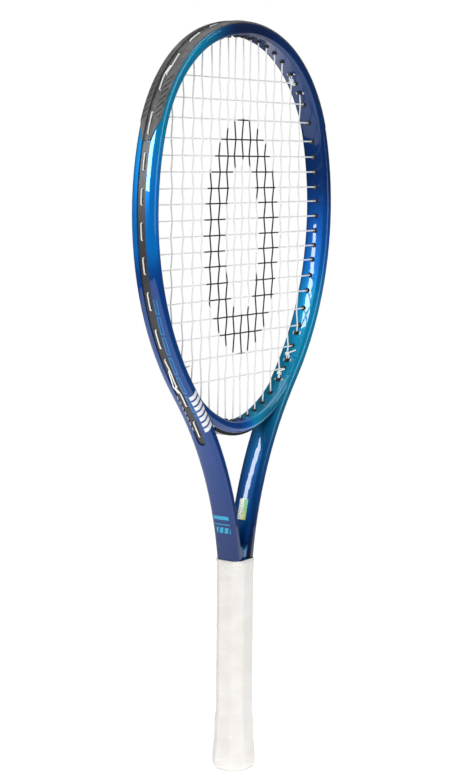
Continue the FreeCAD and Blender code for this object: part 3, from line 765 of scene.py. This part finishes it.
def makeCollars():
    look = collar
    walls = []
    for name in ("frame", "throat_bridge"):
        mesh = nodes[name].data
        points = [v.co for v in mesh.vertices]
        walls.append(BVHTree.FromPolygons(points, [p.vertices for p in mesh.polygons]))
    holes = [((0.0, z), Vector((side, 0, 0))) for z in look["crossHeights"] for side in (-1, 1)]
    holes += [((x * side, look["middle"]), Vector((0, 0, way)))
              for x in look["mainOffsets"] for side in (-1, 1) for way in (-1, 1)]
    shape = bmesh.new()
    for start, along in holes:
        rim = [shape.verts.new((reach / perMetre, 0, lift / perMetre)) for reach, lift in look["lip"]]
        edges = [shape.edges.new(pair) for pair in zip(rim, rim[1:])]
        bmesh.ops.spin(
            shape, geom=rim + edges, cent=(0, 0, 0), axis=(0, 0, 1), angle=2 * math.pi,
            steps=look["steps"], use_merge=True)
        made = [v for v in shape.verts if not v.tag]
        turned = (-along).to_track_quat("Z", "Y").to_matrix().to_4x4()
        placed = Matrix.Translation(wallAt(walls, start, along)) @ turned
        bmesh.ops.transform(shape, matrix=placed, verts=made)
        for vert in made:
            vert.tag = True
    bmesh.ops.remove_doubles(shape, verts=shape.verts[:], dist=1e-6)
    finishPiece(shape, "string_collars", makeCollarNylon())


makeCollars()


floorLook = {"radius": 1.1, "glow": 0.62}


def makeFloor():
    shape = bmesh.new()
    bmesh.ops.create_circle(shape, cap_ends=True, segments=96, radius=floorLook["radius"])
    mesh = bpy.data.meshes.new("floor")
    shape.to_mesh(mesh)
    shape.free()
    pale = Finish("palePaper", {
        "Base Color": (0.93, 0.93, 0.93, 1.0), "Roughness": 0.9, "Specular IOR Level": 0.1,
        "Emission Color": (1.0, 1.0, 1.0, 1.0), "Emission Strength": floorLook["glow"]})
    mesh.materials.append(pale.material)
    floor = bpy.data.objects.new("floor", mesh)
    bpy.context.scene.collection.objects.link(floor)


makeFloor()


# Soft boxes, in metres and watts; the two strips only glint, so that the white grip isn't burnt out
softBoxes = {
    "tallStrip": {
        "place": (-1.3, 0.877, 1.2), "aim": (0.0, 0.0, 0.6), "size": (0.26, 1.2), "power": 16.0,
        "task": "glints"},
    "nearStrip": {
        "place": (-0.416, 0.127, 0.7), "aim": (-0.144, 0.0, 0.56), "size": (0.05, 0.27), "power": 0.75,
        "task": "glints"},
    "overhead": {
        "place": (0.2, -0.1, 2.3), "aim": (0.0, 0.0, 0.3), "size": (1.8, 1.8), "power": 26.0, "task": "both"},
    "frontFill": {
        "place": (0.9, -2.0, 1.1), "aim": (0.0, 0.0, 0.35), "size": (0.9, 1.6), "power": 11.0, "task": "both"},
    "leftFill": {
        "place": (-2.2, -0.7, 1.0), "aim": (0.0, 0.0, 0.3), "size": (0.6, 1.2), "power": 26.0, "task": "lights"},
}


def makeLights():
    for name, box in softBoxes.items():
        light = bpy.data.lights.new(name, "AREA")
        light.shape = "RECTANGLE"
        light.size, light.size_y = box["size"]
        light.energy = box["power"]
        lamp = bpy.data.objects.new(name, light)
        lamp.location = box["place"]
        lamp.rotation_mode = "QUATERNION"
        lamp.rotation_quaternion = (Vector(box["aim"]) - Vector(box["place"])).to_track_quat("-Z", "Y")
        lamp.visible_camera = False
        lamp.visible_diffuse = box["task"] != "glints"
        lamp.visible_glossy = box["task"] != "lights"
        bpy.context.scene.collection.objects.link(lamp)


makeLights()

worldLook = {"room": (0.07, 0.072, 0.078, 1.0), "sweep": (1.0, 1.0, 1.0, 1.0)}


def makeWorld():
    # a white sweep behind, and a dim room for the lacquer to mirror
    world = bpy.data.worlds.new("studio")
    world.use_nodes = True
    room = Network(world.node_tree)
    dim = room.tree.nodes["Background"]
    dim.inputs["Color"].default_value = worldLook["room"]
    sweep = room.add("ShaderNodeBackground", {}, {"Color": worldLook["sweep"]})
    seen = room.add("ShaderNodeLightPath", {}, {}, "Is Camera Ray")
    choose = room.add("ShaderNodeMixShader", {}, {0: seen, 1: Wire(room, dim.outputs[0]), 2: sweep})
    room.tree.links.new(choose.socket, room.tree.nodes["World Output"].inputs["Surface"])
    bpy.context.scene.world = world
    bpy.context.scene.view_settings.view_transform = "Standard"


makeWorld()

cameraLook = {
    "place": (-1.3133, -0.8962, 0.5620),
    "azimuth": -55.388,
    "elevation": 7.418,
    "roll": 0.466,
    "lens": 81.08,
    "sensor": 36.0,
}


def makeCamera():
    look = cameraLook
    turn, tilt, roll = (math.radians(look[k]) for k in ("azimuth", "elevation", "roll"))
    back = Vector((math.sin(turn) * math.cos(tilt), -math.cos(turn) * math.cos(tilt), math.sin(tilt)))
    right = Vector((math.cos(turn), math.sin(turn), 0.0))
    up = back.cross(right)
    right, up = right * math.cos(roll) + up * math.sin(roll), up * math.cos(roll) - right * math.sin(roll)
    lens = bpy.data.cameras.new("studioCamera")
    lens.lens, lens.sensor_width = look["lens"], look["sensor"]
    camera = bpy.data.objects.new("studioCamera", lens)
    camera.matrix_world = Matrix((right, up, back)).transposed().to_4x4()
    camera.location = look["place"]
    bpy.context.scene.collection.objects.link(camera)
    bpy.context.scene.camera = camera


makeCamera()
print("stage set")
